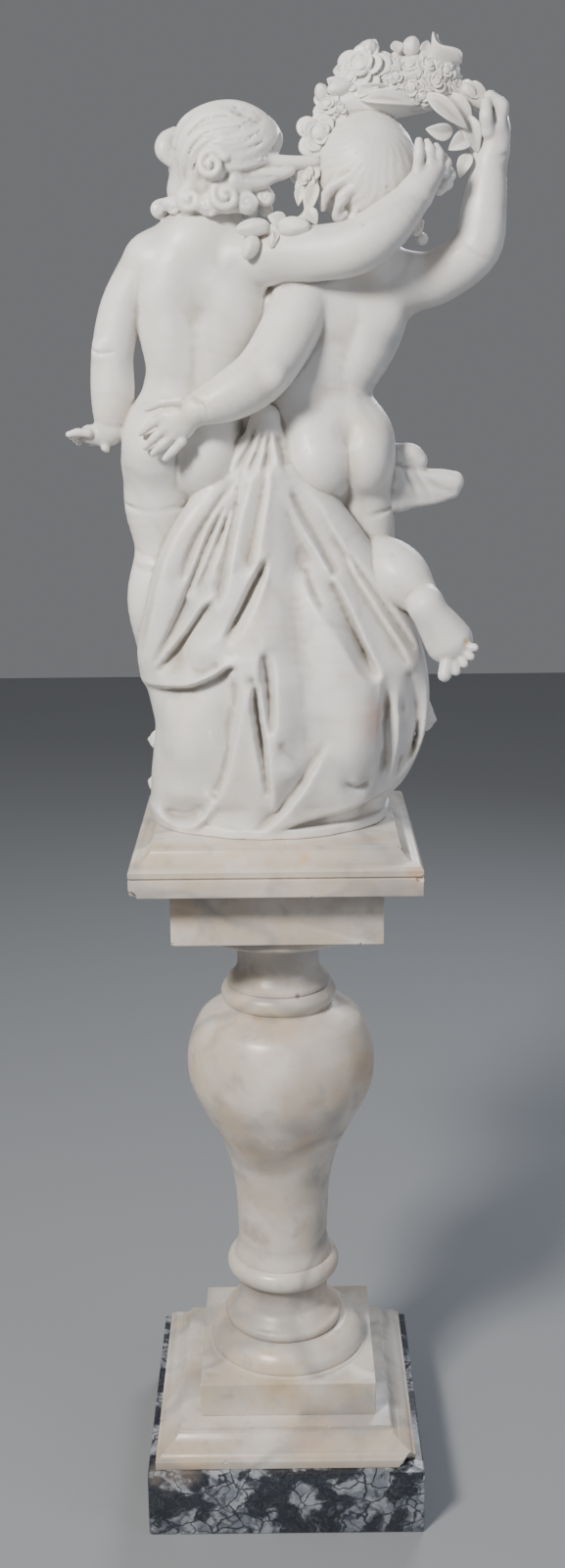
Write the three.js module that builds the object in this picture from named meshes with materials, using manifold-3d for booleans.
// Two marble putti on a turned marble pedestal.
// Millimetres, +Z up. The origin is the middle of the base block's underside and the figures' backs face -Y.
import * as THREE from 'three';
import { mergeVertices } from 'three/addons/utils/BufferGeometryUtils.js';
import Module from 'manifold-3d';

const wasm = await Module();
wasm.setup();

// ---- Driving dimensions: the pedestal, from the floor up ----
const bed = 0.3; // mortar bed between two stones
const baseBlock = { side: 380, top: 95.6, arris: 2 };
const basePlinth = { side: 358.8, topSide: 291.6, top: 138.9, lip: 12, fillet: 7.5, chip: 20 };
const foot = { side: 244.7, squareTop: 189.2, roundRadius: 111, seamRadius: 85, top: 225, shiftX: 4 };
const shaft = { ringRadius: 80, ringHeight: 314, neckRadius: 62.7, bellyRadius: 130, top: 713.6, shiftX: -1.5 };
const capital = { collarRadius: 79, neckRadius: 56, diskRadius: 125, side: 273.2, abacus: 843.9, top: 923.9, shiftX: -4 };
const underSlab = { side: 367, top: 947.8, chip: 12 };
const topSlab = { side: 367, topSide: 312.8, top: 981.8 };
const slabShiftX = -5;
const roundSides = 26;

// ---- Driving dimensions: the group, measured from the pedestal's top ----
const roundPlate = { centre: [-12, 13], halfWidth: 160, halfDepth: 142, thick: 12 };
const claySize = { low: [-280, -172, -11], high: [302, 184, 975], step: 5.5 };
const groupTriangles = 6750;

// ---- Small helpers for turned and square stones ----
const point = (x, y) => new THREE.Vector2(x, y);

function arc(x, z, radius, from, to, steps) {
  const points = [];
  for (let i = 0; i <= steps; i += 1) {
    const angle = THREE.MathUtils.degToRad(from + ((to - from) * i) / steps);
    points.push(point(x + radius * Math.cos(angle), z + radius * Math.sin(angle)));
  }
  return points;
}

function smoothLine(stations, steps) {
  return new THREE.SplineCurve(stations.map(([x, z]) => point(x, z))).getPoints(steps);
}

function signedVolume(geometry) {
  const at = geometry.attributes.position;
  const corner = [0, 1, 2].map(() => new THREE.Vector3());
  let volume = 0;
  for (let i = 0; i < geometry.index.count; i += 3) {
    corner.forEach((v, k) => v.fromBufferAttribute(at, geometry.index.getX(i + k)));
    volume += corner[0].dot(corner[1].clone().cross(corner[2]));
  }
  return volume;
}

// Bare merged triangles with their faces pointing out.
function bare(geometry) {
  geometry.deleteAttribute('normal');
  geometry.deleteAttribute('uv');
  const merged = mergeVertices(geometry, 1e-3);
  const kept = [];
  for (let i = 0; i < merged.index.count; i += 3) {
    const [a, b, c] = [0, 1, 2].map((k) => merged.index.getX(i + k));
    if (a !== b && b !== c && c !== a) kept.push(a, b, c);
  }
  merged.setIndex(kept);
  if (signedVolume(merged) < 0) merged.setIndex(kept.reverse());
  return merged;
}

function turned(profile, sides = roundSides) {
  return bare(new THREE.LatheGeometry(profile, sides).rotateX(Math.PI / 2));
}

// A square stone with the same moulding on its four sides: half widths against height.
function square(profile) {
  const corners = profile.map((p) => point(p.x * Math.SQRT2, p.y));
  return bare(new THREE.LatheGeometry(corners, 4).rotateX(Math.PI / 2).rotateZ(Math.PI / 4));
}

function solid(geometry) {
  const vertProperties = new Float32Array(geometry.attributes.position.array);
  const triVerts = new Uint32Array(geometry.index.array);
  return new wasm.Manifold(new wasm.Mesh({ numProp: 3, vertProperties, triVerts }));
}

function geometryOf(manifold) {
  const mesh = manifold.getMesh();
  const geometry = new THREE.BufferGeometry();
  geometry.setAttribute('position', new THREE.BufferAttribute(mesh.vertProperties, 3));
  geometry.setIndex(new THREE.BufferAttribute(mesh.triVerts, 1));
  return geometry;
}

// A corner knocked off: a tilted block that reaches `size` into the stone at the corner.
function knocked(geometry, corner, size) {
  const block = new THREE.BoxGeometry(size * 4, size * 4, size * 4);
  block.translate(0, 0, -size * 2 + size * 0.45);
  const outward = new THREE.Vector3(...corner.direction).normalize().negate();
  block.applyQuaternion(new THREE.Quaternion().setFromUnitVectors(new THREE.Vector3(0, 0, 1), outward));
  block.translate(...corner.at);
  return geometryOf(solid(geometry).subtract(solid(bare(block))));
}

// ---- The pedestal's stones ----
function makeBaseBlock() {
  const half = baseBlock.side / 2;
  const { top, arris } = baseBlock;
  return square([point(0, 0), point(half, 0), point(half, top - arris), point(half - arris, top), point(0, top)]);
}

function makeBasePlinth() {
  const low = baseBlock.top + bed;
  const half = basePlinth.side / 2;
  const halfTop = basePlinth.topSide / 2;
  const filletFoot = basePlinth.top - basePlinth.fillet;
  const wave = new THREE.CubicBezierCurve(
    point(half - 4, low + basePlinth.lip + 1.5),
    point(half - 8, low + basePlinth.lip + 12),
    point(halfTop + 14, low + basePlinth.lip + 8),
    point(halfTop + 3, filletFoot),
  ).getPoints(6);
  const stone = square([
    point(0, low), point(half, low), point(half, low + basePlinth.lip), ...wave,
    point(halfTop, filletFoot), point(halfTop, basePlinth.top), point(0, basePlinth.top),
  ]);
  return knocked(stone, { at: [half, -half, low], direction: [1, -1, -0.8] }, basePlinth.chip);
}

function makeFoot() {
  const low = basePlinth.top + bed;
  const half = foot.side / 2;
  const plinth = square([point(0, low), point(half, low), point(half, foot.squareTop), point(0, foot.squareTop)]);
  const bulge = smoothLine([
    [foot.roundRadius - 1, foot.squareTop + 3], [foot.roundRadius, foot.squareTop + 9],
    [foot.roundRadius - 4, foot.squareTop + 19], [foot.roundRadius - 13, foot.squareTop + 29],
    [foot.seamRadius, foot.top],
  ], 4);
  const bell = turned([
    point(0, foot.squareTop - 10), point(foot.roundRadius + 4, foot.squareTop - 10),
    point(foot.roundRadius + 4, foot.squareTop + 1), ...bulge, point(0, foot.top),
  ]);
  return geometryOf(solid(plinth).add(solid(bell))).translate(foot.shiftX, 0, 0);
}

function makeShaft() {
  const low = foot.top + bed;
  const { neckRadius, ringRadius, ringHeight, bellyRadius } = shaft;
  const torus = 16; // the ring's own radius
  const vase = smoothLine([
    [neckRadius, ringHeight + 42], [neckRadius + 2, 400], [neckRadius + 4, 435], [neckRadius + 11, 475],
    [neckRadius + 24, 515], [bellyRadius - 22, 555], [bellyRadius - 4, 595], [bellyRadius, 626],
    [bellyRadius - 3, 655], [bellyRadius - 15, 686], [bellyRadius - 27, 699], [capital.collarRadius - 4, shaft.top],
  ], 12);
  return turned([
    point(0, low), point(foot.seamRadius - 5, low), ...arc(foot.seamRadius - 9, low + 8, 8, -60, 75, 3),
    point(neckRadius + 12, low + 19), ...smoothLine([[neckRadius + 8, low + 25], [neckRadius + 1.5, low + 34],
      [neckRadius, low + 46]], 3),
    point(neckRadius + 2, ringHeight - torus - 4), ...arc(ringRadius - torus, ringHeight, torus, -76, 72, 5),
    point(neckRadius + 6, ringHeight + torus + 3), point(neckRadius + 5, ringHeight + torus + 7),
    ...vase, point(0, shaft.top),
  ]).translate(shaft.shiftX, 0, 0);
}

function makeCapital() {
  const low = shaft.top + bed;
  const { collarRadius, neckRadius, diskRadius } = capital;
  const roll = 15; // the collar's own radius
  const half = capital.side / 2;
  const abacus = square([point(0, capital.abacus), point(half, capital.abacus), point(half, capital.top),
    point(0, capital.top)]);
  const neck = turned([
    point(0, low), point(collarRadius - 6, low), ...arc(collarRadius - roll, low + roll, roll, -55, 70, 4),
    point(collarRadius - 8, low + 2 * roll + 1), point(collarRadius - 9, low + 2 * roll + 5),
    ...smoothLine([[neckRadius + 8, low + 40], [neckRadius + 1, low + 52], [neckRadius, low + 66],
      [neckRadius + 2, low + 88], [neckRadius + 14, low + 108]], 5),
    point(diskRadius - 7, capital.abacus - 18), point(diskRadius, capital.abacus - 11),
    point(diskRadius, capital.abacus + 6), point(0, capital.abacus + 6),
  ]);
  return geometryOf(solid(abacus).add(solid(neck))).translate(capital.shiftX, 0, 0);
}

function makeUnderSlab() {
  const low = capital.top + bed;
  const half = underSlab.side / 2;
  const slab = square([point(0, low), point(half, low), point(half, underSlab.top), point(0, underSlab.top)]);
  const chipped = knocked(slab, { at: [-half, -half, low], direction: [-1, -1, -1] }, underSlab.chip);
  return chipped.translate(slabShiftX, 0, 0);
}

function makeTopSlab() {
  const low = underSlab.top + bed;
  const half = topSlab.side / 2;
  const halfTop = topSlab.topSide / 2;
  const cavetto = new THREE.QuadraticBezierCurve(
    point(half - 5, low + 14), point(half - 19, low + 16), point(halfTop, topSlab.top - 4),
  ).getPoints(6);
  return square([
    point(0, low), point(half - 2, low), point(half, low + 2.5), point(half, low + 9), point(half - 2.5, low + 12.5),
    ...cavetto, point(halfTop, topSlab.top), point(0, topSlab.top),
  ]).translate(slabShiftX, 0, 0);
}

// ---- Forms for carving: each gives the distance from a place to its surface, and the box that it fills ----
function boxOf(points, radii) {
  const box = new THREE.Box3();
  points.forEach((p, i) => box.union(new THREE.Box3().setFromCenterAndSize(p, new THREE.Vector3(2, 2, 2)
    .multiplyScalar(radii[i]))));
  return box;
}

// A round limb that tapers along a smooth line: stations are [x, y, z, radius].
function limb(stations, steps = 4) {
  const line = new THREE.CatmullRomCurve3(stations.map(([x, y, z]) => new THREE.Vector3(x, y, z)), false,
    'catmullrom', 0.5);
  const spans = stations.length - 1;
  const points = line.getPoints(spans * steps);
  const radii = points.map((_, i) => {
    const span = Math.min(Math.floor(i / steps), spans - 1);
    return THREE.MathUtils.lerp(stations[span][3], stations[span + 1][3], i / steps - span);
  });
  const distance = (x, y, z) => {
    let nearest = Infinity;
    for (let i = 1; i < points.length; i += 1) {
      const a = points[i - 1];
      const b = points[i];
      const [dx, dy, dz] = [b.x - a.x, b.y - a.y, b.z - a.z];
      const along = ((x - a.x) * dx + (y - a.y) * dy + (z - a.z) * dz) / (dx * dx + dy * dy + dz * dz);
      const t = Math.min(Math.max(along, 0), 1);
      const gap = Math.sqrt((x - a.x - t * dx) ** 2 + (y - a.y - t * dy) ** 2 + (z - a.z - t * dz) ** 2);
      nearest = Math.min(nearest, gap - radii[i - 1] - t * (radii[i] - radii[i - 1]));
    }
    return nearest;
  };
  return { distance, box: boxOf(points, radii) };
}

// An egg: centre, half sizes along its own axes, and its turn about X, Y and Z in degrees.
function egg(centre, half, turn = [0, 0, 0]) {
  const euler = new THREE.Euler(...turn.map(THREE.MathUtils.degToRad));
  const m = new THREE.Matrix4().makeRotationFromEuler(euler).transpose().elements;
  const [cx, cy, cz] = centre;
  const [hx, hy, hz] = half;
  const distance = (x, y, z) => {
    const [px, py, pz] = [x - cx, y - cy, z - cz];
    const ux = (m[0] * px + m[4] * py + m[8] * pz) / hx;
    const uy = (m[1] * px + m[5] * py + m[9] * pz) / hy;
    const uz = (m[2] * px + m[6] * py + m[10] * pz) / hz;
    const k0 = Math.sqrt(ux * ux + uy * uy + uz * uz);
    const k1 = Math.sqrt((ux / hx) ** 2 + (uy / hy) ** 2 + (uz / hz) ** 2);
    return k1 < 1e-9 ? -Math.min(hx, hy, hz) : (k0 * (k0 - 1)) / k1;
  };
  return { distance, box: boxOf([new THREE.Vector3(...centre)], [Math.max(hx, hy, hz)]) };
}

// ---- Clay: distances sampled on a regular grid, added to, cut into and joined ----
class Clay {
  constructor() {
    const { low, high, step } = claySize;
    this.low = low;
    this.step = step;
    this.count = low.map((v, i) => Math.ceil((high[i] - v) / step) + 1);
    this.values = new Float32Array(this.count[0] * this.count[1] * this.count[2]).fill(80);
  }

  work(box, reach, change) {
    const { low, step, count, values } = this;
    const ends = ['x', 'y', 'z'].map((axis, i) => [
      Math.max(0, Math.floor((box.min[axis] - reach - low[i]) / step)),
      Math.min(count[i] - 1, Math.ceil((box.max[axis] + reach - low[i]) / step)),
    ]);
    for (let k = ends[2][0]; k <= ends[2][1]; k += 1) {
      for (let j = ends[1][0]; j <= ends[1][1]; j += 1) {
        for (let i = ends[0][0]; i <= ends[0][1]; i += 1) {
          const at = i + count[0] * (j + count[1] * k);
          values[at] = change(values[at], low[0] + i * step, low[1] + j * step, low[2] + k * step);
        }
      }
    }
    return this;
  }

  add(form, blend) {
    return this.work(form.box, blend + 3 * this.step, (old, x, y, z) => softMin(old, form.distance(x, y, z), blend));
  }

  cut(form, blend) {
    return this.work(form.box, blend + 3 * this.step, (old, x, y, z) => -softMin(-old, form.distance(x, y, z), blend));
  }

  join(other, blend) {
    this.values.forEach((old, i) => { this.values[i] = softMin(old, other.values[i], blend); });
    return this;
  }

  // How far towards +Y the clay begins above (x, z), coming from -Y, or from +Y when side is 1.
  face(x, z, side = -1) {
    const { low, step, count, values } = this;
    const i = Math.round((x - low[0]) / step);
    const k = Math.round((z - low[2]) / step);
    const value = (j) => values[i + count[0] * (j + count[1] * k)];
    const from = side < 0 ? 0 : count[1] - 1;
    for (let j = from; j > 0 && j < count[1] - 1; j -= side) if (value(j) < 0) break;
    for (let n = 1; n < count[1]; n += 1) {
      const j = from - side * n;
      const [before, here] = [value(j + side), value(j)];
      if (here < 0 && before >= 0) return low[1] + (j + (side * -here) / (before - here)) * step;
    }
    return 0;
  }
}

function softMin(a, b, blend) {
  const near = Math.max(blend - Math.abs(a - b), 0) / (blend || 1);
  return Math.min(a, b) - near * near * blend * 0.25;
}

// ---- Anatomy ----
// Fingers as short limbs: each is [knuckle, tip] with one radius.
function addFingers(clay, fingers, radius) {
  fingers.forEach(([knuckle, bend, tip]) => clay.add(limb([[...knuckle, radius + 1], [...bend, radius + 0.3],
    [...tip, radius - 1]], 3), 3));
}

// A child's head: skull, brow, cheeks, nose, mouth and chin, built facing +Y and turned to its place.
function addHead(clay, head) {
  const turn = new THREE.Euler(...head.turn.map(THREE.MathUtils.degToRad));
  const place = (x, y, z) => new THREE.Vector3(x, y, z).multiplyScalar(head.size).applyEuler(turn)
    .add(new THREE.Vector3(...head.centre)).toArray();
  const sized = (x, y, z) => [x, y, z].map((v) => v * head.size);
  const part = (at, half) => egg(place(...at), sized(...half), head.turn);
  clay.add(part([0, -6, 10], [58, 66, 60]), 8);
  clay.add(part([0, 22, -22], [44, 40, 44]), 16);
  [-1, 1].forEach((side) => clay.add(part([side * 24, 36, -28], [21, 20, 22]), 10));
  clay.add(part([0, 46, -52], [14, 12, 12]), 9);
  clay.add(limb([[...place(0, 56, -2), 5 * head.size], [...place(0, 65, -18), 7.5 * head.size]]), 6);
  clay.add(part([0, 55, -35], [13, 7, 6]), 5);
  [-1, 1].forEach((side) => clay.cut(part([side * 21, 60, 0], [13, 8, 8]), 7));
  [-1, 1].forEach((side) => clay.add(part([side * 56, 6, -12], [7, 13, 19]), 4));
}

// A lock of hair that winds in on itself, flat against the head.
function curl(centre, normal, size, thick, turns = 1.6) {
  const toNormal = new THREE.Quaternion().setFromUnitVectors(new THREE.Vector3(0, 0, 1),
    new THREE.Vector3(...normal).normalize());
  const stations = [];
  for (let i = 0; i <= 10; i += 1) {
    const share = i / 10;
    const angle = share * turns * 2 * Math.PI;
    const reach = size * (1 - 0.85 * share);
    const v = new THREE.Vector3(Math.cos(angle) * reach, Math.sin(angle) * reach, share * thick * 0.8);
    stations.push([...v.applyQuaternion(toNormal).add(new THREE.Vector3(...centre)).toArray(), thick * (1 - 0.3 * share)]);
  }
  return limb(stations, 1);
}

// ---- The left putto, seen from behind ----
function makeLeftPutto() {
  const clay = new Clay();
  // trunk: columns side by side leave the furrow of the spine between them
  clay.add(limb([[-146, 2, 462, 44], [-140, 0, 500, 40], [-124, -2, 566, 36], [-128, -2, 635, 42],
    [-136, 0, 695, 36]]), 4);
  clay.add(limb([[-90, 2, 462, 47], [-86, 0, 500, 44], [-76, -2, 566, 40], [-60, -2, 635, 47],
    [-46, -2, 695, 41]]), 22);
  clay.add(egg([-112, 30, 540], [56, 36, 66]), 22); // belly
  clay.add(egg([-98, 18, 650], [62, 34, 60]), 22); // chest
  clay.add(limb([[-146, 0, 708, 31], [-100, -4, 730, 33], [-52, -6, 716, 35]]), 18);
  clay.add(limb([[-92, 0, 722, 38], [-80, 2, 750, 36], [-72, 6, 790, 36]]), 18);
  clay.add(egg([-150, 2, 702], [29, 30, 32]), 14);
  const seat = new Clay();
  seat.add(egg([-154, -20, 480], [37, 42, 44]), 1).add(egg([-86, -21, 470], [38, 44, 46]), 3);
  clay.join(seat, 20);
  clay.cut(limb([[-102, -52, 700, 4], [-100, -50, 620, 5], [-102, -46, 560, 4], [-116, -48, 522, 3]]), 12);
  clay.cut(limb([[-166, -28, 566, 3], [-130, -44, 548, 4], [-100, -48, 552, 4]]), 14);
  // the straight leg, and the other that steps forward under the cloth
  clay.add(limb([[-150, 2, 455, 43], [-152, 2, 408, 41], [-150, 2, 352, 31], [-158, -6, 290, 35], [-154, -2, 225, 28],
    [-140, 10, 110, 19], [-136, 14, 42, 20]]), 10);
  clay.add(limb([[-136, 16, 32, 22], [-132, 50, 26, 17], [-130, 84, 22, 14]]), 8);
  clay.add(limb([[-86, 10, 450, 44], [-76, 36, 390, 39], [-66, 62, 318, 32], [-62, 50, 240, 33], [-60, 44, 170, 27],
    [-58, 46, 90, 19], [-58, 48, 42, 20]]), 10);
  clay.add(limb([[-58, 52, 32, 22], [-58, 88, 26, 17], [-58, 116, 22, 13]]), 8);
  clay.cut(limb([[-190, -30, 452, 3], [-156, -62, 442, 4], [-122, -50, 446, 3]]), 6);
  clay.cut(limb([[-190, -14, 410, 2.5], [-156, -44, 404, 3], [-128, -34, 408, 2.5]]), 5);
  clay.cut(limb([[-184, -12, 352, 2.5], [-160, -32, 346, 3], [-134, -24, 350, 2.5]]), 5);
  // the arm that hangs, its hand bent back with the palm down
  const arm = new Clay();
  arm.add(limb([[-154, 2, 702, 32], [-186, 0, 652, 28], [-201, -3, 598, 26], [-203, -4, 545, 27],
    [-207, -3, 506, 19]]), 1);
  arm.add(limb([[-207, -3, 503, 18], [-216, -4, 494, 15], [-236, -6, 494, 12]]), 6);
  addFingers(arm, [-14, -5, 4, 12].map((y, i) => (
    [[-236, y - 5, 495], [-250, y - 8, 497 - i], [-262 + 2 * i, y - 12, 497 - 2 * i]])), 5.2);
  addFingers(arm, [[[-216, 8, 490], [-230, 18, 486], [-240, 22, 484]]], 5.5);
  clay.join(arm, 5);
  // the arm that lies over the other's shoulders, its hand against the other's head
  const over = new Clay();
  over.add(limb([[-46, -10, 703, 35], [10, -38, 708, 33], [58, -62, 709, 31], [98, -76, 714, 31], [134, -76, 738, 28],
    [168, -68, 772, 19]]), 1);
  over.add(limb([[168, -68, 774, 19], [178, -64, 790, 18], [186, -58, 808, 15]]), 6);
  addFingers(over, [
    [[180, -66, 808], [174, -66, 824], [171, -62, 838]], [[188, -60, 810], [187, -62, 824], [187, -58, 835]],
    [[194, -52, 808], [198, -54, 820], [199, -50, 828]], [[198, -44, 800], [206, -44, 808], [208, -38, 814]],
    [[180, -52, 786], [196, -40, 792], [210, -34, 800]],
  ], 6);
  clay.join(over, 10);
  clay.cut(limb([[150, -92, 770, 2.5], [166, -90, 762, 3], [182, -80, 760, 2.5]]), 5);
  clay.cut(limb([[60, -42, 740, 2.5], [78, -62, 743, 3], [96, -84, 738, 3]]), 6);
  return clay;
}

function makeLeftHead() {
  const clay = new Clay();
  addHead(clay, { centre: [-66, 8, 812], size: 0.98, turn: [0, 0, 58] });
  const waves = new Clay();
  waves.add(egg([-60, -6, 822], [62, 56, 50], [0, 0, 20]), 1);
  waves.add(limb([[-128, 20, 828, 12], [-100, -8, 852, 18], [-58, -20, 864, 16], [-16, -12, 850, 18]]), 8);
  waves.add(limb([[-116, -14, 820, 14], [-84, -44, 832, 16], [-40, -48, 832, 16], [-6, -26, 820, 16]]), 8);
  waves.add(limb([[-104, -30, 784, 17], [-76, -48, 786, 18], [-40, -50, 790, 18], [-8, -32, 792, 17]]), 8);
  clay.join(waves, 8);
  clay.add(egg([-131, 2, 829], [13, 14, 14]), 5); // forelock
  clay.add(curl([-70, -62, 806], [-0.2, -1, 0.1], 17, 6), 4);
  [[-142, -8, 760, 12], [-124, -26, 764, 13], [-104, -44, 764, 14], [-80, -50, 762, 14], [-56, -50, 768, 14],
    [-30, -42, 772, 13], [-6, -28, 778, 12]].forEach(([x, y, z, r]) => clay.add(egg([x, y, z], [r, r * 0.9, r]), 4));
  clay.add(limb([[-30, -30, 808, 13], [-6, -36, 809, 14], [24, -38, 812, 12], [50, -36, 816, 10]]), 5); // carved strut
  return clay;
}

// ---- The right putto ----
function makeRightPutto() {
  const clay = new Clay();
  clay.add(limb([[46, 2, 458, 48], [40, 0, 500, 46], [34, -2, 548, 44], [48, -2, 605, 44],
    [58, -4, 662, 40]]), 4);
  clay.add(limb([[104, 2, 458, 40], [97, 0, 500, 36], [84, -2, 548, 35], [108, -2, 605, 43],
    [136, -2, 662, 38]]), 22);
  clay.add(limb([[-30, 8, 470, 26], [-26, 6, 540, 28], [-14, 2, 600, 26], [0, 0, 650, 24]]), 16); // left solid
  clay.add(egg([74, 28, 532], [50, 34, 62]), 20); // belly
  clay.add(egg([94, 16, 628], [60, 32, 52]), 20); // chest
  clay.add(limb([[50, -6, 676, 32], [104, -8, 696, 34], [158, -2, 680, 33]]), 16);
  clay.add(limb([[106, -4, 690, 38], [110, 0, 720, 36], [113, 4, 760, 38]]), 18);
  clay.add(egg([44, -8, 668], [36, 34, 36]), 14);
  const seat = new Clay();
  seat.add(egg([52, -24, 458], [44, 42, 48]), 1).add(egg([116, -20, 466], [32, 40, 44]), 3);
  clay.join(seat, 20);
  clay.cut(limb([[108, -50, 690, 4], [98, -50, 620, 5], [80, -44, 555, 4], [86, -50, 508, 3]]), 12);
  // the leg that bends back, sole towards -Y
  clay.add(limb([[114, 4, 430, 36], [118, 12, 372, 33], [120, 30, 325, 34]]), 10);
  clay.add(limb([[120, 22, 324, 34], [134, -34, 324, 40], [154, -80, 310, 34], [178, -104, 300, 23]]), 8);
  clay.add(limb([[188, -112, 298, 25], [200, -113, 274, 22], [213, -112, 254, 27]]), 8);
  clay.add(limb([[182, -100, 298, 23], [204, -94, 268, 20], [214, -98, 250, 19]]), 8);
  [[203, 212, 9], [215, 218, 7], [225, 226, 6.6], [233, 235, 6.3], [238, 246, 6]].forEach(([x, z, r]) => (
    clay.add(limb([[(x + 216) / 2, -110, (z + 250) / 2, r + 1], [x, -122, z, r]], 2), 3)));
  clay.cut(limb([[40, -60, 420, 3], [66, -66, 410, 4], [94, -56, 418, 3]]), 6);
  clay.cut(limb([[94, -56, 422, 3], [120, -60, 424, 4], [148, -34, 430, 3]]), 6);
  clay.cut(limb([[92, -40, 396, 2.5], [122, -32, 400, 3], [146, -10, 404, 2.5]]), 5);
  // the standing leg
  clay.add(limb([[60, 6, 440, 42], [56, 30, 370, 37], [52, 46, 290, 30], [46, 40, 220, 31], [44, 42, 150, 24],
    [42, 46, 60, 19]]), 10);
  clay.add(limb([[42, 50, 32, 22], [44, 86, 26, 17], [46, 114, 22, 13]]), 8);
  // the arm behind the other's back, its hand on the other's seat
  const low = new Clay();
  low.add(limb([[40, -12, 668, 38], [18, -44, 620, 36], [-14, -68, 572, 34], [-52, -80, 546, 30],
    [-93, -82, 530, 20]]), 1);
  low.add(egg([-120, -76, 513], [25, 14, 22], [0, -30, 0]), 8);
  addFingers(low, [
    [[-110, -78, 530], [-133, -72, 534], [-153, -60, 529]], [[-134, -74, 516], [-151, -68, 509], [-163, -56, 501]],
    [[-134, -74, 505], [-149, -70, 495], [-158, -62, 486]], [[-128, -76, 497], [-141, -72, 487], [-149, -66, 480]],
    [[-120, -76, 493], [-129, -74, 483], [-135, -70, 475]],
  ], 6);
  clay.join(low, 5);
  clay.cut(limb([[-100, -94, 544, 2.5], [-88, -102, 530, 3], [-84, -94, 514, 2.5]]), 5);
  // the raised arm
  clay.add(limb([[156, 0, 674, 36], [204, -4, 684, 32], [248, -6, 716, 30], [257, -4, 766, 27],
    [263, 0, 814, 20]]), 12);
  clay.add(limb([[263, 0, 818, 19], [267, -2, 836, 17], [268, -4, 856, 15]]), 6);
  addFingers(clay, [[256, -14], [264, -16], [272, -12], [279, -6]].map(([x, y], i) => (
    [[x, y, 862], [x + 1, y - 4, 880 - i], [x - 2, y + 8, 892 - 2 * i]])), 6.2);
  addFingers(clay, [[[258, 6, 846], [248, 10, 862], [246, 8, 880]]], 6.5);
  clay.cut(limb([[244, -14, 822, 2.5], [264, -22, 818, 3], [284, -12, 820, 2.5]]), 5);
  return clay;
}

function makeRightHead() {
  const clay = new Clay();
  addHead(clay, { centre: [114, 8, 798], size: 0.98, turn: [0, 0, -14] });
  clay.add(egg([113, -6, 800], [62, 60, 66]), 8); // combed hair
  [[82, -40, 752, 13], [104, -48, 744, 13], [128, -46, 742, 12], [150, -36, 748, 12], [168, -22, 758, 11],
    [170, -24, 738, 10]].forEach(([x, y, z, r]) => clay.add(egg([x, y, z], [r, r * 0.9, r]), 5));
  return clay;
}

// ---- The cloth that falls between and around the two ----
const clothCore = [
  [[-12, -32, 515, 18], [-14, -34, 470, 26], [-18, -32, 410, 42], [-20, -32, 350, 50], [-20, -36, 280, 58],
    [-15, -46, 200, 66], [-5, -50, 110, 72], [-5, -48, 70, 72]],
  [[-40, -26, 470, 18], [-78, -28, 415, 26], [-110, -30, 360, 32], [-130, -32, 300, 36], [-137, -32, 240, 38],
    [-132, -30, 180, 38], [-122, -30, 120, 42], [-122, -24, 66, 50]],
  [[8, -30, 480, 18], [30, -32, 425, 28], [62, -34, 370, 36], [95, -34, 310, 42], [125, -34, 260, 44],
    [142, -32, 200, 44], [142, -30, 140, 46], [128, -28, 92, 46], [106, -24, 56, 44]],
  [[-60, -34, 330, 46], [-70, -42, 240, 54], [-72, -46, 150, 60], [-66, -44, 72, 62]],
  [[50, -36, 300, 46], [66, -44, 220, 56], [70, -48, 130, 62], [60, -46, 72, 60]],
  [[-6, 26, 250, 40], [-4, 30, 150, 62], [-2, 30, 66, 66]],
];

// Raised folds and sunk folds across the back: routes in (x, z), then half width and height or depth.
const raisedFolds = [
  [[[-68, 458], [-98, 420], [-134, 358], [-154, 300], [-163, 240]], 9, 8],
  [[[-38, 485], [-68, 432], [-112, 366], [-142, 300], [-158, 222]], 8, 7],
  [[[-23, 491], [-48, 430], [-90, 344], [-128, 275], [-156, 216]], 8, 7],
  [[[-11, 502], [-28, 456], [-48, 386], [-62, 314], [-72, 262]], 9, 11],
  [[[-6, 491], [-17, 432], [-24, 379], [-32, 338]], 7, 8],
  [[[-20, 349], [-40, 308], [-62, 272], [-92, 240]], 14, 10],
  [[[-166, 206], [-125, 199], [-88, 212], [-58, 227], [-49, 206], [-52, 176], [-62, 132], [-78, 88]], 8, 10],
  [[[-33, 212], [-52, 152], [-76, 88], [-98, 28]], 6, 7],
  [[[-1, 502], [-5, 425], [-8, 345], [-18, 287], [-33, 206]], 8, 8],
  [[[2, 479], [10, 432], [26, 374], [46, 320], [78, 258], [108, 200]], 8, 9],
  [[[22, 443], [43, 396], [67, 348], [92, 288], [125, 210]], 8, 11],
  [[[34, 426], [64, 378], [102, 316], [142, 254], [160, 200], [161, 140], [154, 100]], 9, 8],
  [[[12, 450], [35, 420], [77, 382], [112, 342], [148, 288], [172, 244]], 7, 6],
  [[[125, 203], [134, 166], [134, 124], [127, 82]], 5, 6],
  [[[142, 191], [148, 142], [140, 88]], 6, 7],
  [[[62, 128], [33, 99], [10, 68], [-33, 26]], 8, 9],
  [[[-150, 150], [-120, 96], [-96, 60]], 26, 7],
];
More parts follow.
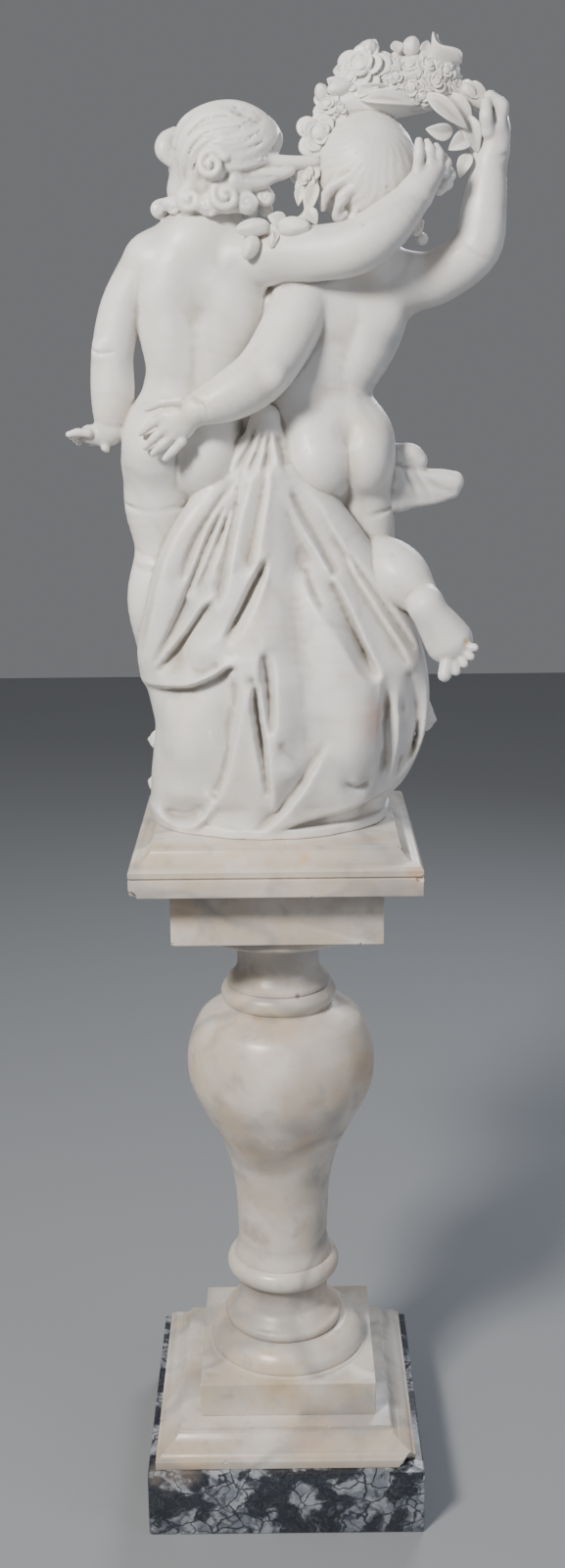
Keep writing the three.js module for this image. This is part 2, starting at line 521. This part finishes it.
const sunkFolds = [
  [[[-4, 465], [-12, 439], [-24, 400], [-33, 358], [-38, 338]], 5, 8],
  [[[-43, 443], [-52, 408], [-62, 366], [-70, 322]], 5, 8],
  [[[-19, 345], [-38, 307], [-58, 270], [-80, 230]], 5, 9],
  [[[-75, 306], [-96, 278], [-125, 246], [-152, 220]], 5, 8],
  [[[-60, 216], [-90, 203], [-120, 193], [-160, 188]], 8, 12],
  [[[-30, 196], [-26, 151], [-22, 112], [-12, 54]], 7, 18],
  [[[-19, 238], [-17, 205], [-15, 176]], 4, 9],
  [[[43, 347], [61, 324], [78, 280], [98, 238], [116, 211]], 8, 16],
  [[[17, 425], [31, 396], [46, 367]], 6, 8],
  [[[4, 401], [22, 358], [32, 322], [48, 296]], 6, 7],
  [[[53, 384], [77, 345], [108, 298], [130, 252]], 5, 7],
  [[[128, 196], [129, 165], [128, 124], [120, 80]], 5, 8],
  [[[160, 204], [163, 155], [165, 112]], 7, 9],
  [[[138, 80], [110, 55], [70, 42], [32, 33], [-8, 22]], 6, 9],
  [[[-164, 56], [-148, 40], [-130, 30], [-112, 36], [-98, 48]], 6, 10],
];

function makeCloth() {
  const core = new Clay();
  clothCore.forEach((stations) => core.add(limb(stations), 16));
  const cloth = new Clay().join(core, 0);
  const route = (path, lift) => path.map(([x, z]) => [x, core.face(x, z) + lift, z]);
  raisedFolds.forEach(([path, half, height]) => {
    const last = path.length - 1;
    const wide = half + 1.5;
    const stations = route(path, wide - height).map((p, i) => [...p, wide * (i === 0 || i === last ? 0.55 : 1)]);
    cloth.add(limb(stations), 9);
  });
  sunkFolds.forEach(([path, half, depth]) => {
    const last = path.length - 1;
    const stations = route(path, depth - half - 3).map((p, i) => [...p, half * (i === 0 || i === last ? 0.5 : 1)]);
    cloth.cut(limb(stations), 7);
  });
  // folds that fall in front
  for (let i = 0; i < 7; i += 1) {
    const x = -96 + i * 32;
    const top = 250 - 14 * Math.abs(i - 3);
    const stations = [top, (top + 40) / 2, 30].map((z, n) => (
      [x * (0.75 + 0.2 * n), core.face(x * (0.75 + 0.2 * n), z, 1) - 2, z, 9 + 2 * n]));
    cloth.add(limb(stations), 8);
  }
  // the sash across the loins and its end, blown out past the hip
  cloth.add(limb([[6, 34, 470, 20], [50, 50, 452, 20], [98, 48, 448, 20], [142, 26, 456, 18], [168, 10, 462, 16]]), 8);
  cloth.add(limb([[-4, 34, 472, 20], [-46, 56, 452, 20], [-98, 58, 440, 19], [-140, 46, 440, 15]]), 8);
  cloth.add(limb([[-88, 62, 440, 17], [-96, 66, 410, 20], [-100, 64, 372, 16]]), 8);
  cloth.add(limb([[144, 8, 462, 20], [166, 6, 466, 17], [184, 4, 458, 15]]), 6);
  cloth.add(limb([[150, 8, 440, 26], [186, 8, 428, 22], [212, 6, 434, 17], [226, 4, 430, 14]]), 6);
  cloth.add(egg([162, 10, 418], [20, 18, 26]), 8);
  cloth.cut(limb([[188, -12, 454, 3], [172, -14, 440, 4], [166, -12, 414, 3]]), 5);
  // rocky ground: lumps that show at either side, and a low mound in front
  const rocks = new Clay();
  [[182, 22, 124, 20, 24, 22], [188, 32, 102, 23, 28, 20], [172, 26, 82, 26, 30, 24], [158, 30, 50, 30, 34, 30],
    [-162, 24, 92, 17, 22, 20], [-160, 30, 64, 20, 28, 24], [-150, 34, 36, 26, 34, 28]].forEach(
    ([x, y, z, ...half], i) => rocks.add(egg([x, y, z], half, [20 * i, 12 * i - 30, 35 * i]), 4));
  for (let i = 0; i < 9; i += 1) {
    const angle = ((i + 0.5) / 9) * Math.PI;
    const [x, y] = [-12 + 128 * Math.cos(angle), 20 + 104 * Math.sin(angle)];
    rocks.add(egg([x, y, 14], [34 + 6 * (i % 2), 24, 16 + 5 * (i % 3)], [0, 0, 50 * i]), 5);
  }
  cloth.join(rocks, 3);
  return cloth;
}

// ---- The garland of roses, buds and leaves ----
const roses = [ // x, y, z, radius
  [82, -2, 900, 19], [100, 2, 924, 18], [120, 4, 932, 18], [142, 6, 922, 18], [162, 10, 932, 18], [186, 8, 938, 19],
  [210, 10, 940, 17], [224, 10, 918, 17], [198, 0, 914, 17], [176, -10, 900, 16], [152, -14, 902, 18],
  [124, -16, 900, 18], [98, -18, 884, 17], [134, -24, 878, 14], [168, -20, 878, 14],
  [59, -10, 846, 22], [70, -14, 874, 16], [50, -14, 818, 13], [42, -34, 796, 12],
  [-16, -50, 741, 12], [4, -56, 729, 12], [29, -54, 734, 12], [-31, -52, 712, 11],
  [172, -32, 742, 10], [180, -28, 724, 10],
];
const leaves = [ // root, tip
  [[214, 6, 900], [228, 0, 868]], [[224, 6, 890], [238, -2, 850]], [[206, 6, 886], [214, -4, 846]],
  [[232, 4, 902], [262, -2, 892]], [[222, 12, 934], [226, 8, 956]], [[84, 4, 900], [66, 0, 920]],
  [[50, -16, 812], [58, -30, 782]], [[44, -30, 790], [50, -42, 764]], [[48, -40, 770], [40, -50, 744]],
  [[14, -52, 738], [-4, -58, 752]], [[226, -6, 846], [234, -10, 812]],
];

function makeGarland() {
  const clay = new Clay();
  clay.add(limb([[56, -4, 850, 13], [68, -4, 872, 17], [94, -4, 888, 22], [140, -6, 892, 24],
    [186, 0, 898, 22], [226, 4, 898, 15], [256, -2, 884, 10]]), 3);
  clay.add(limb([[56, -6, 846, 9], [50, -18, 810, 8], [48, -34, 776, 8], [36, -48, 742, 8], [4, -50, 728, 8],
    [-28, -48, 712, 7]]), 3);
  roses.forEach(([x, y, z, r], n) => {
    clay.add(egg([x, y, z], [r * 0.62, r * 0.62, r * 0.62]), 2);
    for (let i = 0; i < 5; i += 1) {
      const angle = (i / 5) * 2 * Math.PI + n;
      const [px, pz] = [x + Math.cos(angle) * r * 0.66, z + Math.sin(angle) * r * 0.66];
      clay.add(egg([px, y - r * 0.1, pz], [r * 0.42, r * 0.42, r * 0.42]), 1.5);
    }
  });
  leaves.forEach(([root, tip]) => {
    const middle = root.map((v, i) => (v + tip[i]) / 2);
    clay.add(limb([[...root, 4], [...middle, 8], [...tip, 3]], 2), 3);
  });
  return clay;
}

const minus = (a, b) => [a[0] - b[0], a[1] - b[1], a[2] - b[2]];
const cross = (a, b) => [a[1] * b[2] - a[2] * b[1], a[2] * b[0] - a[0] * b[2], a[0] * b[1] - a[1] * b[0]];
const dot = (a, b) => a[0] * b[0] + a[1] * b[1] + a[2] * b[2];

// ---- From clay to triangles: one point in each cell that the surface crosses, one quad across each crossed edge ----
const cornersOf = (count) => Array.from({ length: 8 }, (_, c) => (
  (c & 1) + count[0] * (((c >> 1) & 1) + count[1] * (c >> 2))));
const cellFaces = [[0, 1, 3, 2], [4, 5, 7, 6], [0, 1, 5, 4], [2, 3, 7, 6], [0, 2, 6, 4], [1, 3, 7, 5]];
const cellEdges = [[0, 1], [2, 3], [4, 5], [6, 7], [0, 2], [1, 3], [4, 6], [5, 7], [0, 4], [1, 5], [2, 6], [3, 7]];

function eachCell(clay, visit) {
  const { count } = clay;
  for (let k = 0; k < count[2] - 1; k += 1) {
    for (let j = 0; j < count[1] - 1; j += 1) {
      for (let i = 0; i < count[0] - 1; i += 1) visit(i + count[0] * (j + count[1] * k), i, j, k);
    }
  }
}

// Where clay meets only along an edge or at a corner, the thinnest place is filled, so that the skin has no pinches.
function closePinches(clay) {
  const { count, values } = clay;
  const corners = cornersOf(count);
  const fill = (places) => {
    const thinnest = places.reduce((best, at) => (values[at] < values[best] ? at : best));
    values[thinnest] = -0.05 * clay.step;
  };
  let filled;
  do {
    filled = 0;
    eachCell(clay, (base) => {
      const isIn = corners.map((c) => values[base + c] < 0);
      const inside = isIn.filter(Boolean).length;
      if (inside === 0 || inside === 8) return;
      const outOf = (list) => list.filter((c) => !isIn[c]).map((c) => base + corners[c]);
      const crossed = cellFaces.find(([p, q, r, t]) => isIn[p] === isIn[r] && isIn[q] === isIn[t] && isIn[p] !== isIn[q]);
      const opposite = [0, 1, 2, 3].find((c) => isIn[c] === isIn[7 - c] && (inside === 2 ? isIn[c] : !isIn[c]));
      if (crossed) fill(outOf(crossed));
      else if ((inside === 2 || inside === 6) && opposite !== undefined) fill(outOf([0, 1, 2, 3, 4, 5, 6, 7]));
      else return;
      filled += 1;
    });
  } while (filled > 0);
}

function skin(clay) {
  closePinches(clay);
  const { count, values, low, step } = clay;
  const corners = cornersOf(count);
  const known = new Int32Array(values.length).fill(-1);
  const places = [];
  const faces = [];
  eachCell(clay, (base, i, j, k) => {
    const crossed = cellEdges.filter(([p, q]) => (values[base + corners[p]] < 0) !== (values[base + corners[q]] < 0));
    if (crossed.length === 0) return;
    const sum = [0, 0, 0];
    crossed.forEach(([p, q]) => {
      const t = values[base + corners[p]] / (values[base + corners[p]] - values[base + corners[q]]);
      [0, 1, 2].forEach((axis) => {
        const [from, to] = [(p >> axis) & 1, (q >> axis) & 1];
        sum[axis] += from + t * (to - from);
      });
    });
    known[base] = places.push([i, j, k].map((n, axis) => low[axis] + step * (n + sum[axis] / crossed.length))) - 1;
  });
  const strides = [1, count[0], count[0] * count[1]];
  eachCell(clay, (base, i, j, k) => {
    strides.forEach((stride, axis) => {
      const from = values[base] < 0;
      if (from === values[base + stride] < 0) return;
      const [u, v] = [(axis + 1) % 3, (axis + 2) % 3];
      if ([i, j, k][u] === 0 || [i, j, k][v] === 0) return;
      const [su, sv] = [strides[u], strides[v]];
      const quad = [base, base - su, base - su - sv, base - sv].map((cell) => known[cell]);
      if (!from) quad.reverse();
      const gap = (m, n) => Math.hypot(...minus(places[quad[m]], places[quad[n]]));
      const [p, q, r, t] = quad;
      if (gap(0, 2) < gap(1, 3)) faces.push([p, q, r], [p, r, t]);
      else faces.push([q, r, t], [q, t, p]);
    });
  });
  return { places, faces };
}

// Only the largest closed shell is kept.
function largestShell({ places, faces }) {
  const parent = places.map((_, i) => i);
  const root = (i) => {
    let r = i;
    while (parent[r] !== r) r = parent[r] = parent[parent[r]];
    return r;
  };
  faces.forEach(([a, b, c]) => { parent[root(a)] = root(b); parent[root(b)] = root(c); });
  const tally = new Map();
  faces.forEach(([a]) => tally.set(root(a), (tally.get(root(a)) ?? 0) + 1));
  const best = [...tally.entries()].sort((p, q) => q[1] - p[1])[0][0];
  return { places, faces: faces.filter(([a]) => root(a) === best) };
}

// ---- Thinning: edges fold away, cheapest first, by their summed squared distance to the old faces ----
class Heap {
  constructor() { this.items = []; }

  push(item) {
    const { items } = this;
    let i = items.push(item) - 1;
    while (i > 0) {
      const up = (i - 1) >> 1;
      if (items[up].cost <= items[i].cost) break;
      [items[up], items[i]] = [items[i], items[up]];
      i = up;
    }
  }

  pop() {
    const { items } = this;
    const top = items[0];
    const last = items.pop();
    if (items.length > 0) {
      items[0] = last;
      for (let i = 0; ;) {
        const left = 2 * i + 1;
        const right = left + 1;
        let least = i;
        if (left < items.length && items[left].cost < items[least].cost) least = left;
        if (right < items.length && items[right].cost < items[least].cost) least = right;
        if (least === i) break;
        [items[least], items[i]] = [items[i], items[least]];
        i = least;
      }
    }
    return top;
  }
}

function thin({ places, faces }, wanted) {
  const around = places.map(() => new Set());
  faces.forEach((face, f) => face.forEach((v) => around[v].add(f)));
  const normalOf = ([a, b, c]) => cross(minus(places[b], places[a]), minus(places[c], places[a]));
  // ten sums per vertex: the upper half of the 4 x 4 plane matrix
  const sums = places.map(() => new Float64Array(10));
  const addPlane = (sum, n, d, weight) => {
    const p = [...n, d];
    let at = 0;
    for (let i = 0; i < 4; i += 1) for (let j = i; j < 4; j += 1) { sum[at] += weight * p[i] * p[j]; at += 1; }
  };
  faces.forEach((face) => {
    const n = normalOf(face);
    const size = Math.hypot(...n) || 1e-12;
    const unit = n.map((v) => v / size);
    const d = -dot(unit, places[face[0]]);
    face.forEach((v) => addPlane(sums[v], unit, d, size));
  });
  const unitOf = (v) => v.map((c) => c / (Math.hypot(...v) || 1));
  const lean = places.map((_, v) => {
    const total = [0, 0, 0];
    around[v].forEach((f) => normalOf(faces[f]).forEach((c, i) => { total[i] += c; }));
    return unitOf(total);
  });
  const costAt = (s, [x, y, z]) => s[0] * x * x + 2 * s[1] * x * y + 2 * s[2] * x * z + 2 * s[3] * x + s[4] * y * y
    + 2 * s[5] * y * z + 2 * s[6] * y + s[7] * z * z + 2 * s[8] * z + s[9];
  const bestPlace = (s, a, b) => {
    const middle = places[a].map((v, i) => (v + places[b][i]) / 2);
    const pull = 1e-3 * (s[0] + s[4] + s[7]) + 1e-9; // keeps flat places well behaved
    const m = [[s[0] + pull, s[1], s[2]], [s[1], s[4] + pull, s[5]], [s[2], s[5], s[7] + pull]];
    const r = [pull * middle[0] - s[3], pull * middle[1] - s[6], pull * middle[2] - s[8]];
    const det = dot(m[0], cross(m[1], m[2]));
    if (Math.abs(det) < 1e-14) return middle;
    const column = (i) => [m[0][i], m[1][i], m[2][i]];
    const [c0, c1, c2] = [column(0), column(1), column(2)];
    return [dot(r, cross(c1, c2)) / det, dot(c0, cross(r, c2)) / det, dot(c0, cross(c1, r)) / det];
  };
  const stamp = new Uint32Array(places.length);
  const heap = new Heap();
  const offer = (a, b) => {
    const sum = sums[a].map((v, i) => v + sums[b][i]);
    const at = bestPlace(sum, a, b);
    const length = dot(minus(places[a], places[b]), minus(places[a], places[b]));
    heap.push({ cost: costAt(sum, at) + 1e-4 * length, a, b, at, age: stamp[a] + stamp[b] });
  };
  const neighbours = (v) => {
    const found = new Set();
    around[v].forEach((f) => faces[f].forEach((w) => { if (w !== v) found.add(w); }));
    return found;
  };
  // a face may not turn away from the skin's own normals, nor become a worse sliver than it was
  const shapeOf = (corners) => {
    const edges = [minus(corners[1], corners[0]), minus(corners[2], corners[0]), minus(corners[2], corners[1])];
    const normal = cross(edges[0], edges[1]);
    const area = Math.hypot(...normal);
    return { normal, area, fatness: area / (Math.max(...edges.map((e) => dot(e, e))) + 1e-12) };
  };
  const spoils = (v, other, at) => {
    for (const f of around[v]) {
      const face = faces[f];
      if (face.includes(other)) continue;
      const before = shapeOf(face.map((w) => places[w]));
      const after = shapeOf(face.map((w) => (w === v ? at : places[w])));
      const guide = [0, 1, 2].map((i) => face.reduce((sum, w) => sum + lean[w][i], 0) + lean[other][i]);
      if (dot(after.normal, guide) < 0.25 * after.area * Math.hypot(...guide)) return true;
      if (after.fatness < 0.12 && after.fatness < before.fatness) return true;
    }
    return false;
  };
  places.forEach((_, v) => neighbours(v).forEach((w) => { if (v < w) offer(v, w); }));
  let left = faces.length;
  while (left > wanted && heap.items.length > 0) {
    const { a, b, at, age } = heap.pop();
    if (!around[a] || !around[b] || age !== stamp[a] + stamp[b]) continue;
    const [nearA, nearB] = [neighbours(a), neighbours(b)];
    if (!nearA.has(b)) continue;
    const shared = [...nearA].filter((v) => nearB.has(v));
    if (shared.length !== 2 || spoils(a, b, at) || spoils(b, a, at)) continue;
    if (shared.some((v) => neighbours(v).size < 4)) continue;
    places[a] = at;
    sums[a] = sums[a].map((v, i) => v + sums[b][i]);
    lean[a] = unitOf(lean[a].map((v, i) => v + lean[b][i]));
    around[b].forEach((f) => {
      if (faces[f].includes(a)) {
        faces[f].forEach((v) => around[v].delete(f));
        faces[f] = null;
        left -= 1;
      } else {
        faces[f] = faces[f].map((v) => (v === b ? a : v));
        around[a].add(f);
      }
    });
    around[b] = null;
    stamp[a] += stamp[b] + 1;
    neighbours(a).forEach((w) => offer(a, w));
  }
  return { places, faces: faces.filter(Boolean) };
}

function makeGroup() {
  const clay = makeLeftPutto();
  clay.join(makeLeftHead(), 3);
  const right = makeRightPutto().join(makeRightHead(), 3);
  clay.join(right, 2);
  clay.join(makeCloth(), 2);
  clay.join(makeGarland(), 2);
  const { centre, halfWidth, halfDepth, thick } = roundPlate;
  const plate = {
    box: new THREE.Box3(new THREE.Vector3(-halfWidth - 12, -halfDepth, -thick), new THREE.Vector3(halfWidth, halfDepth + 14, thick)),
    distance: (x, y, z) => {
      const [u, v] = [(x - centre[0]) / halfWidth, (y - centre[1]) / halfDepth];
      return Math.max((Math.hypot(u, v) - 1) * halfDepth, z - thick, -thick - z);
    },
  };
  clay.add(plate, 3);
  clay.work(new THREE.Box3(new THREE.Vector3(-300, -200, -30), new THREE.Vector3(320, 200, 20)), 0, (old, x, y, z) => (
    Math.max(old, -z)));
  const { places, faces } = thin(largestShell(skin(clay)), groupTriangles);
  const geometry = new THREE.BufferGeometry();
  geometry.setAttribute('position', new THREE.Float32BufferAttribute(places.flat(), 3));
  geometry.setIndex(faces.flat());
  return bare(geometry);
}

// ---- The whole ----
const white = { color: 0xdcd9d2, roughness: 0.45, metalness: 0 };
const warm = { color: 0xd6cec0, roughness: 0.4, metalness: 0 };
const veined = { color: 0x4a4f5a, roughness: 0.35, metalness: 0 };
const stones = [
  ['base_block', makeBaseBlock, veined], ['base_plinth', makeBasePlinth, warm], ['foot', makeFoot, warm],
  ['shaft', makeShaft, warm], ['capital', makeCapital, warm], ['under_slab', makeUnderSlab, warm],
  ['top_slab', makeTopSlab, warm], ['putti_group', makeGroup, white],
];

const group = new THREE.Group();
stones.forEach(([name, make, finish]) => {
  const mesh = new THREE.Mesh(make(), new THREE.MeshStandardMaterial(finish));
  mesh.name = name;
  if (name === 'putti_group') mesh.position.z = topSlab.top + bed;
  group.add(mesh);
});

export default group;
